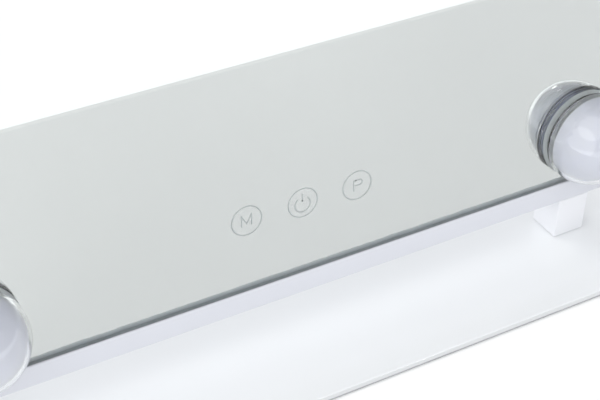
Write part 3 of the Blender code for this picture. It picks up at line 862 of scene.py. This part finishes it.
@dataclass
class MirrorPlate:
    """The glass, and the silvering on its rear face."""

    head: HeadFrame
    silver_thickness: float = 0.04 * MM
    silver_depth: float = 0.06 * MM
    silver_inset: float = 0.05 * MM
    hole_radius: float = 22.4 * MM
    ring_inner: float = 15.4 * MM
    ring_outer: float = 22.3 * MM
    hole_steps: int = 96

    def silver_plane(self) -> float:
        """Place of the silver's middle plane along the head's back direction."""
        return self.head.box("mirror_glass")[1].y - self.silver_depth

    def ring_profile(self) -> np.ndarray:
        """The section of a printed ring, as radius and height: a thin oblong."""
        inner, outer, half = self.ring_inner, self.ring_outer, self.silver_thickness / 2
        return np.array(((inner, -half), (outer, -half), (outer, half), (inner, half)))

    def build(self, glass_colour: str, silver_colour: str, print_white: Material) -> None:
        """Dresses the glass, makes the silvering, open at each light, and prints a white ring there.

        Args:
            glass_colour: the tint of the glass, as #rrggbb.
            silver_colour: the colour of the silver, as #rrggbb.
            print_white: the material of the rings.
        """
        low, high = self.head.box("mirror_glass")
        back = self.head.upright()[1]
        glass = FloatGlass("float_glass_ground_edges", glass_colour, 0.0, back=tuple(back))
        dress(glass.build(), "mirror_glass")
        silver = Silvering(
            "wet_silvered_mirror",
            silver_colour,
            0.0,
            1.0,
            half_width=high.x,
            bottom=low.z,
            top=high.z,
            pivot=tuple(self.head.pivot),
            lean=self.head.lean,
        )
        inset = self.silver_inset
        x0, z0, x1, z1 = low.x + inset, low.z + inset, high.x - inset, high.z - inset
        outlines = [np.array(((x0, z0), (x1, z0), (x1, z1), (x0, z1)))]
        for node in nodes_named("globe_seat_"):
            x, _, z = middle(*self.head.box(node))
            outlines.append(arc((x, z), self.hole_radius, 0, 360, self.hole_steps)[:-1])
            name = f"white_ring_{node.removeprefix('globe_seat_')}"
            axes = self.head.facing_user(x, self.silver_plane(), z)
            ring = turned(name, self.ring_profile(), axes, self.hole_steps, ring=True)
            finish_piece(ring, print_white, Body.HEAD, "mirror_glass")
        axes = self.head.facing_user(0, self.silver_plane(), 0)
        sheet = flat_sheet("silvering", outlines, self.silver_thickness, axes)
        finish_piece(sheet, silver.build(), Body.HEAD, "mirror_glass")


class Mark(Enum):
    """The three touch controls, from left to right."""

    MODE = -1
    POWER = 0
    PRESET = 1


@dataclass
class TouchMarks:
    """Three ringed marks etched through the silver in front of the touch board."""

    head: HeadFrame
    plane: float
    above_edge: float = 35.0 * MM
    pitch: float = 27.5 * MM
    ring_radius: float = 7.2 * MM
    line: float = 0.62 * MM
    offset: float = -0.4 * MM
    letter_height: float = 5.3 * MM
    letter_width: float = 4.8 * MM
    vee_depth: float = 0.55  # how far the M's middle drops, as a share of half its height
    bowl_share: float = 0.7  # the P's half width, as a share of half the letter's width
    power_centre: tuple[float, float] = (-0.1 * MM, -0.8 * MM)
    power_radius: float = 3.8 * MM
    power_span: tuple[float, float] = (128, 412)  # degrees
    bar_foot: tuple[float, float] = (-0.2 * MM, 1.1 * MM)
    bar_height: float = 3.6 * MM
    preset_lamp: tuple[float, float] = (-0.6 * MM, 2.6 * MM)
    dot_radius: float = 0.45 * MM
    thickness: float = 0.01 * MM
    clearance: float = 0.02 * MM
    ring_steps: int = 96

    def strokes(self, mark: Mark) -> dict[str, tuple[np.ndarray, bool]]:
        """Draws one mark about its centre.

        Args:
            mark: the mark.

        Returns:
            For each line, its path and whether it closes on itself.
        """
        ring = arc((0, 0), self.ring_radius, 0, 360, self.ring_steps)[:-1]
        lines = {"ring": (ring, True)}
        half, rise = self.letter_width / 2, self.letter_height / 2
        if mark is Mark.MODE:
            middle_foot = (0, -rise * self.vee_depth)
            zigzag = ((-half, -rise), (-half, rise), middle_foot, (half, rise), (half, -rise))
            lines["letter"] = (np.array(zigzag), False)
        elif mark is Mark.POWER:
            x, z = self.bar_foot
            lines["arc"] = (arc(self.power_centre, self.power_radius, *self.power_span, 48), False)
            lines["bar"] = (np.array((self.bar_foot, (x, z + self.bar_height))), False)
        else:
            bowl_radius, right = rise / 2, half * self.bowl_share
            bowl = arc((right - bowl_radius * 0.3, rise - bowl_radius), bowl_radius, 90, -90, 16)
            stem = np.array(((-right, -rise), (-right, rise)))
            lines["letter"] = (np.concatenate((stem, bowl, ((self.line - right, 0.0),))), False)
        return lines

    def build(self, etched: Material, lamp: Material) -> None:
        """Makes every line, and the small lamp windows of the power and preset marks.

        Args:
            etched: the material of the lines.
            lamp: the material of the windows.
        """
        depth = self.plane - self.clearance
        height = self.head.box("mirror_glass")[0].z + self.above_edge
        for mark in Mark:
            axes = self.head.facing_user(mark.value * self.pitch + self.offset, depth, height)
            for part, (path, loop) in self.strokes(mark).items():
                name = f"touch_{mark.name.lower()}_{part}"
                line = ribbon(name, path, self.line, self.thickness, axes, loop)
                finish_piece(line, etched, Body.HEAD, "mirror_glass")
        radius, top = self.dot_radius, self.thickness
        profile = np.array(((0, top), (radius, top), (radius, 0), (0, 0)))
        for mark, (x, z) in ((Mark.POWER, self.bar_foot), (Mark.PRESET, self.preset_lamp)):
            across = mark.value * self.pitch + self.offset + x
            axes = self.head.facing_user(across, depth - self.clearance, height + z)
            dot = turned(f"touch_{mark.name.lower()}_lamp", profile, axes, 32)
            finish_piece(dot, lamp, Body.HEAD, "mirror_glass")


@dataclass
class Stand:
    """Base plate, feet, posts and the screws that hold the posts."""

    corner: float = 10 * MM
    edge: float = 0.6 * MM
    post_edge: float = 0.8 * MM
    gap: float = 0.3 * MM
    screw_radius: float = 1.9 * MM
    head_radius: float = 4.1 * MM
    head_height: float = 2.1 * MM
    recess_radius: float = 1.5 * MM
    recess_depth: float = 1.7 * MM
    recess_lip: float = 0.1 * MM
    screw_land: float = 0.05 * MM
    screw_chamfer: float = 0.4 * MM
    overcut: float = 1.0 * MM
    slot_round: float = 0.2 * MM
    foot_round: float = 0.25 * MM
    foot_rings: tuple[float, float] = (0.72, 0.44)  # as shares of the foot's radius
    ring_half: float = 0.3 * MM
    ring_depth: float = 0.2 * MM
    # the grey strip under the plate's edge is painted shadow
    strip_inset: float = 0.9 * MM
    strip_width: float = 1.2 * MM
    strip_height: float = 0.7 * MM
    steps: int = 64

    def screw_profile(self, length: float) -> np.ndarray:
        """A countersunk screw, head down: tip, shank, cone, face and a socket with a drilled point.

        Args:
            length: the screw's length.

        Returns:
            Radius and height of each point.
        """
        chamfer, land, lip = self.screw_chamfer, self.screw_land, self.recess_lip
        shank, head, recess, depth = self.screw_radius, self.head_radius, self.recess_radius, self.recess_depth
        stem = ((0, length), (shank - chamfer, length), (shank, length - chamfer), (shank, self.head_height))
        face = ((head, land), (head - land, 0), (recess + lip, 0), (recess, lip))
        return np.array((*stem, *face, (recess, depth - chamfer), (0, depth)))

    def foot_profile(self, radius: float, height: float) -> np.ndarray:
        """A flat pad with a rounded lower edge and two shallow rings moulded in its underside.

        Args:
            radius: the foot's radius.
            height: its height.

        Returns:
            Radius and height of each point.
        """
        lower = arc((radius - self.foot_round, self.foot_round), self.foot_round, 0, -90, 5)
        edge, floor = self.ring_half, self.ring_depth
        groove = ((edge, 0.0), (floor, floor), (-floor, floor), (-edge, 0.0))
        rings = [(share * radius + step, depth) for share in self.foot_rings for step, depth in groove]
        return np.concatenate((((0, height), (radius, height)), lower, rings, ((0, 0),)))

    def build_plate(self, enamel: Material) -> None:
        """The base plate, countersunk from below for the two screws.

        Args:
            enamel: its material.
        """
        low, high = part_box("base_plate")
        plate = rounded_block("enamelled_base_plate", low, high, self.corner, self.edge, 12)
        cutters = []
        for node in nodes_named("leg_screw_"):
            x, y, _ = middle(*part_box(node))
            wide, narrow = self.head_radius + self.gap, self.screw_radius + self.gap
            sink = self.head_height
            above = high.z - low.z + self.overcut
            cone = ((narrow, sink), (wide, 0), (2 * wide - narrow, -sink))
            profile = np.array(((0, above), (narrow, above), *cone, (0, -sink)))
            cutters.append(turned("sink", profile, from_above(x, y, low.z), self.steps))
        cut_away(plate, *cutters)
        finish_piece(plate, enamel, Body.STAND, "base_plate_paint", "base_plate")

    def build_shadow_strip(self, rubber: Material) -> None:
        """The soft grey strip round the plate's underside, just inside its edge: painted shadow, a dark line
        that stands for the shade under the plate's edge.

        Its middle line is the plate's rounded outline, drawn in by the inset.

        Args:
            rubber: its material.
        """
        low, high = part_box("base_plate")
        centre, half = (low + high) / 2, (high - low) / 2
        reach = self.corner - self.strip_inset
        corners = ((1, 1, 0), (-1, 1, 90), (-1, -1, 180), (1, -1, 270))
        path = np.concatenate(
            [
                arc((x * (half.x - self.corner), y * (half.y - self.corner)), reach, start, start + 90, 12)
                for x, y, start in corners
            ]
        )
        axes = from_above(centre.x, centre.y, low.z - self.strip_height)
        strip = ribbon("painted_shadow_edge_strip", path, self.strip_width, self.strip_height, axes, True)
        finish_piece(strip, rubber, Body.STAND, "foot_rubber")

    def build_post(self, side: str, coat: Material) -> None:
        """A post with softened edges, slotted above for its tongue and bored below for its screw.

        Args:
            side: left or right.
            coat: its material.
        """
        low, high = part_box(f"leg_{side}")
        post = rounded_block(f"post_{side}", low, high, self.post_edge, self.post_edge, 6)
        tongue_low, tongue_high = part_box(f"hinge_tongue_{side}")
        margin = Vector((self.gap, self.gap, self.gap))
        slot_high = Vector((tongue_high.x, tongue_high.y, high.z + 2 * self.overcut)) + margin
        slot = rounded_block("slot", tongue_low - margin, slot_high, self.slot_round, self.slot_round, 3)
        centre = (low + high) / 2
        screw_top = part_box(f"leg_screw_{side}")[1].z + self.gap
        bore_radius = self.screw_radius + self.gap
        profile = np.array(((0, screw_top), (bore_radius, screw_top), (bore_radius, 0), (0, 0)))
        bore = turned("bore", profile, from_above(centre.x, centre.y, 0), self.steps)
        cut_away(post, slot, bore)
        finish_piece(post, coat, Body.STAND, "post_paint", f"leg_{side}")

    def build(
        self, enamel: Material, coat: Material, rubber: Material, strip: Material, steel: Material
    ) -> None:
        """Makes the whole stand.

        Args:
            enamel: the material of the base plate.
            coat: the material of the posts.
            rubber: the material of the feet.
            strip: the material of the grey strip under the plate's edge, which is painted shadow.
            steel: the material of the screws and tongues.
        """
        self.build_plate(enamel)
        self.build_shadow_strip(strip)
        for side in ("left", "right"):
            self.build_post(side, coat)
        for node in nodes_named("leg_screw_"):
            low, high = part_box(node)
            x, y, _ = middle(low, high)
            axes = from_above(x, y, low.z)
            screw = turned(f"countersunk_{node}", self.screw_profile(high.z - low.z), axes, self.steps)
            finish_piece(screw, steel, Body.STAND, "zinc_steel", node)
        for node in nodes_named("foot_"):
            low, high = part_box(node)
            x, y, _ = middle(low, high)
            axes = from_above(x, y, low.z)
            profile = self.foot_profile((high.x - low.x) / 2, high.z - low.z)
            foot = turned(f"rubber_{node}", profile, axes, self.steps)
            finish_piece(foot, rubber, Body.STAND, "foot_rubber", node)
        dress(steel, *nodes_named("hinge_tongue_"))


@dataclass
class BackFittings:
    """What shows on the back: the panel's cross-recess screws and the supply jack."""

    head: HeadFrame
    crown: float = 0.35 * MM
    head_radius: float = 2.5 * MM
    head_height: float = 1.4 * MM
    shank_radius: float = 1.2 * MM
    cross_length: float = 2.9 * MM
    cross_width: float = 0.62 * MM
    cross_depth: float = 0.8 * MM
    crown_share: float = 0.72  # radius at which the flat of the head starts to fall away
    recess_taper: float = 0.75
    seat_lift: float = 0.3 * MM
    jack_nose: float = 4.0 * MM
    jack_bore: float = 2.8 * MM
    jack_depth: float = 8.5 * MM
    jack_pin: float = 0.9 * MM
    jack_pin_tip: float = 0.7  # the pin's tip, as a share of its radius
    jack_pin_start: float = 1.5 * MM
    jack_pin_shoulder: float = 1.8 * MM
    jack_flange: float = 6.0 * MM
    jack_flange_thickness: float = 1.5 * MM
    jack_chamfer: float = 0.35 * MM
    steps: int = 96

    def cross_outline(self, angle: np.ndarray) -> np.ndarray:
        """Works out a cross's outline.

        The distance is the larger of those to two crossed slots; a slot's is the lesser of its half length
        over the cosine and its half width over the sine.

        Args:
            angle: the angles, in radians.

        Returns:
            Distance from the middle to the outline at each angle.
        """
        along, beside = np.abs(np.cos(angle)) + 1e-9, np.abs(np.sin(angle)) + 1e-9
        length, width = self.cross_length / 2, self.cross_width / 2
        flat, upright = np.minimum(length / along, width / beside), np.minimum(width / along, length / beside)
        return np.maximum(flat, upright)

    def build_screw(self, node: str, steel: Material) -> None:
        """A pan-head screw: rings from the floor of its cross recess over the crown and down the shank.

        Args:
            node: the CAD screw that it stands for.
            steel: its material.
        """
        low, high = self.head.box(node)
        base = high.y - self.head_height
        x, _, z = middle(low, high)
        axes = self.head.facing_wall(x, base, z)
        angle = np.linspace(0, 2 * np.pi, self.steps, endpoint=False)
        cross = self.cross_outline(angle)
        tip = low.y - base
        top = self.head_height
        shoulder = arc((self.head_radius - self.crown, top - 2 * self.crown), self.crown, 60, 0, 4)
        rings = [
            (0 * angle, top - self.cross_depth),
            (cross * self.recess_taper, top - self.cross_depth),
            (cross, top),
            (0 * angle + self.head_radius * self.crown_share, top - 0.4 * self.crown),
            *((0 * angle + radius, height) for radius, height in shoulder),
            (0 * angle + self.head_radius, self.seat_lift),
            (0 * angle + self.shank_radius, self.seat_lift),
            (0 * angle + self.shank_radius, tip),
            (0 * angle, tip),
        ]
        local = np.stack(
            [
                np.stack((radius * np.cos(angle), radius * np.sin(angle), height + 0 * angle), axis=-1)
                for radius, height in rings
            ]
        )
        screw = new_piece(f"cross_{node}", axes.place(local), grid_faces(len(rings), self.steps))
        finish_piece(screw, steel, Body.HEAD, "zinc_steel", node)

    def build_jack(self, plastic: Material) -> None:
        """The jack: pin, bore, chamfered mouth, nose, flange behind the panel and body.

        Args:
            plastic: its material.
        """
        low, high = self.head.box("supply_jack")
        x, _, z = middle(low, high)
        axes = self.head.facing_wall(x, high.y, z)
        tail = low.y - high.y
        panel = self.head.box("back_panel")[0].y - self.seat_lift - high.y
        flange, chamfer = self.jack_flange_thickness, self.jack_chamfer
        pin, bore, nose, rim = self.jack_pin, self.jack_bore, self.jack_nose, self.jack_flange
        tip = ((0, -self.jack_pin_start), (pin * self.jack_pin_tip, -self.jack_pin_start))
        hollow = ((pin, -self.jack_pin_shoulder), (pin, -self.jack_depth), (bore, -self.jack_depth))
        mouth = ((bore, -chamfer), (bore + chamfer, 0), (nose - chamfer, 0), (nose, -chamfer))
        collar = ((nose, panel), (rim, panel), (rim, panel - flange), (nose, panel - flange))
        profile = np.array((*tip, *hollow, *mouth, *collar, (nose, tail), (0, tail)))
        jack = turned("moulded_supply_jack", profile, axes, self.steps)
        finish_piece(jack, plastic, Body.HEAD, "black_plastic", "supply_jack")

    def build(self, steel: Material, plastic: Material) -> None:
        """Makes the screws and the jack."""
        for node in nodes_named("panel_screw_"):
            self.build_screw(node, steel)
        self.build_jack(plastic)


@dataclass(frozen=True)
class Softbox:
    """A round soft light: where it stands, the point that it faces, its width and its power in watts."""

    name: str
    place: tuple[float, float, float]
    aim: tuple[float, float, float]
    width: float
    power: float

    def build(self) -> None:
        """Makes the light and turns it to its aim."""
        data = bpy.data.lights.new(self.name, "AREA")
        data.shape = "DISK"
        data.size = self.width
        data.energy = self.power
        light = bpy.data.objects.new(self.name, data)
        light.location = self.place
        light.rotation_euler = (Vector(self.aim) - Vector(self.place)).to_track_quat("-Z", "Y").to_euler()
        bpy.context.scene.collection.objects.link(light)


@dataclass
class Studio:
    """A pale table, soft light all round and the camera."""

    table_front: float = -0.3695
    table_back: float = 1.3
    table_half_width: float = 1.8
    table_thickness: float = 0.025
    table_round: float = 0.004
    camera_place: tuple[float, float, float] = (-0.2528, -0.4823, 0.4615)
    heading: float = 30.12  # degrees from straight back towards the user's right
    pitch: float = 37.39  # degrees below level
    roll: float = 1.59  # degrees
    lens: float = 87.1  # millimetres
    sky: float = 0.7  # strength of the light above the horizon
    left_share: float = 1.25
    right_share: float = 0.75
    below: float = 2.1  # strength of the light below it
    horizon: float = 0.03  # half the height over which the one turns into the other
    gamma: float = 1.4

    def build_table(self) -> None:
        """The table: a round-nosed section carried from side to side."""
        nose = arc((self.table_front + self.table_round, -self.table_round), self.table_round, 90, 180, 8)
        underside = ((self.table_front, -self.table_thickness), (self.table_back, -self.table_thickness))
        section = np.concatenate((((self.table_back, 0.0),), nose, underside))
        side = np.array((-self.table_half_width, self.table_half_width))
        x = side[:, None] + 0 * section[None, :, 0]
        points = np.stack((x, section[None, :, 0] + 0 * x, section[None, :, 1] + 0 * x), axis=-1)
        count = len(section)
        faces = grid_faces(2, count) + [list(range(count)), list(range(count, 2 * count))]
        table = new_piece("table_top", points, faces)
        table.data.materials.append(Finish("white_laminate_table", "#fafafa", 0.6).build())

    def build_world(self) -> None:
        """Soft light from every side: pale below the table's edge, brightest from the left and above."""
        world = bpy.data.worlds.new("soft_studio")
        bpy.context.scene.world = world
        world.use_nodes = True
        tree = world.node_tree
        way = add_node(tree, "ShaderNodeTexCoord").outputs["Generated"]
        split = add_node(tree, "ShaderNodeSeparateXYZ", {"Vector": way})
        across, up = split.outputs["X"], split.outputs["Z"]
        left, right = self.sky * self.left_share, self.sky * self.right_share
        sway = {"Value": across, "From Min": -1.0, "From Max": 1.0, "To Min": left, "To Max": right}
        sideways = add_node(tree, "ShaderNodeMapRange", sway).outputs["Result"]
        lift = {"Value": up, "From Min": -self.horizon, "From Max": self.horizon}
        above = add_node(tree, "ShaderNodeMapRange", lift).outputs["Result"]
        blend = {"Factor": above, 2: self.below, 3: sideways}
        strength = add_node(tree, "ShaderNodeMix", blend, data_type="FLOAT").outputs[0]
        background = tree.nodes["Background"]
        background.inputs["Color"].default_value = linear("#fbfcff")
        tree.links.new(strength, background.inputs["Strength"])

    def build_camera(self) -> None:
        """The camera: turned to its heading, pitched down, then rolled about its own line of sight."""
        data = bpy.data.cameras.new("camera")
        data.lens = self.lens
        data.clip_start, data.clip_end = 0.01, 50
        camera = bpy.data.objects.new("camera", data)
        heading = Matrix.Rotation(-math.radians(self.heading), 4, "Z")
        pitch = Matrix.Rotation(math.radians(90 - self.pitch), 4, "X")
        roll = Matrix.Rotation(math.radians(self.roll), 4, "Z")
        camera.matrix_world = Matrix.Translation(self.camera_place) @ heading @ pitch @ roll
        bpy.context.scene.collection.objects.link(camera)
        bpy.context.scene.camera = camera

    def build(self) -> None:
        """Makes the studio."""
        self.build_table()
        self.build_world()
        centre = (0, 0, 0.1)
        Softbox("front_softbox", (-1.95, -1.0, 0.7), centre, 4.0, 47).build()
        Softbox("top_softbox", (-0.5, -0.8, 1.7), centre, 2.4, 17).build()
        Softbox("rear_softbox", (-0.9, 1.5, 0.9), (0, 0, 0), 1.6, 24).build()
        Softbox("small_lamp", (0.64, -1.3, 0.39), centre, 0.12, 2).build()
        self.build_camera()
        view = bpy.context.scene.view_settings
        view.view_transform = "Standard"
        view.gamma = self.gamma


def main() -> None:
    """Builds the sub-assemblies in order."""
    logging.basicConfig(level=logging.INFO, format="%(message)s")
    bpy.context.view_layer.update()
    head = HeadFrame.from_frame()

    coat = PowderCoat("satin_powder_coat", "#dadce1", 0.38).build()
    # the frame takes a darker copy of the posts' white powder coat: painted shade on its front
    shaded_frame_coat = PowderCoat("satin_powder_coat_on_frame", "#b9bcc5", 0.38).build()
    enamel = GlossEnamel("gloss_white_enamel", "#e2e5e7", 0.16).build()
    steel = ZincPlate("bright_zinc_plate", "#b4b9be", 0.3, 1.0).build()
    rubber = MouldedRubber("moulded_grey_rubber", "#3a3b3d", 0.8).build()
    # a grey strip under the base plate's edge: painted shadow
    strip = MouldedRubber("painted_shadow_grey_strip", "#8b9093", 0.7).build()
    board = SolderMask("white_solder_mask", "#f0f2ee", 0.4).build()
    plastic = MouldedAbs("black_moulded_abs", "#1d1e21", 0.45).build()
    sheath = VinylSheath("white_vinyl_sheath", "#ececea", 0.45).build()
    opal = OpalAcrylic("opal_acrylic_lining", "#d2d6ea", 0.4).build()
    clear = ClearAcrylic("clear_gloss_acrylic", "#fdfefe", 0.015).build()
    printed = ScreenPrint("white_screen_print", "#e6ecec", 0.5).build()
    etched = EtchedLine("etched_frosted_line", "#bac1c2", 0.5).build()
    lamp = MouldedAbs("dark_lamp_window", "#3c4244", 0.2).build()

    Stand().build(enamel, coat, rubber, strip, steel)
    dress(shaded_frame_coat, *nodes_named("frame_rail_", "back_panel"))
    dress(steel, *nodes_named("corner_key_", "pivot_yoke_", "pivot_pin_"))
    mirror = MirrorPlate(head)
    mirror.build("#f2f6f6", "#c3c5c3", printed)
    TouchMarks(head, mirror.silver_plane() - mirror.silver_thickness).build(etched, lamp)
    GlobeLights(head).build(clear, opal)
    BackFittings(head).build(steel, plastic)
    dress(board, *nodes_named("led_board_", "touch_board"))
    dress(plastic, "light_driver")
    dress(sheath, *nodes_named("led_lead_", "touch_lead", "supply_lead"))
    Studio().build()


if __name__ == "__main__":
    main()
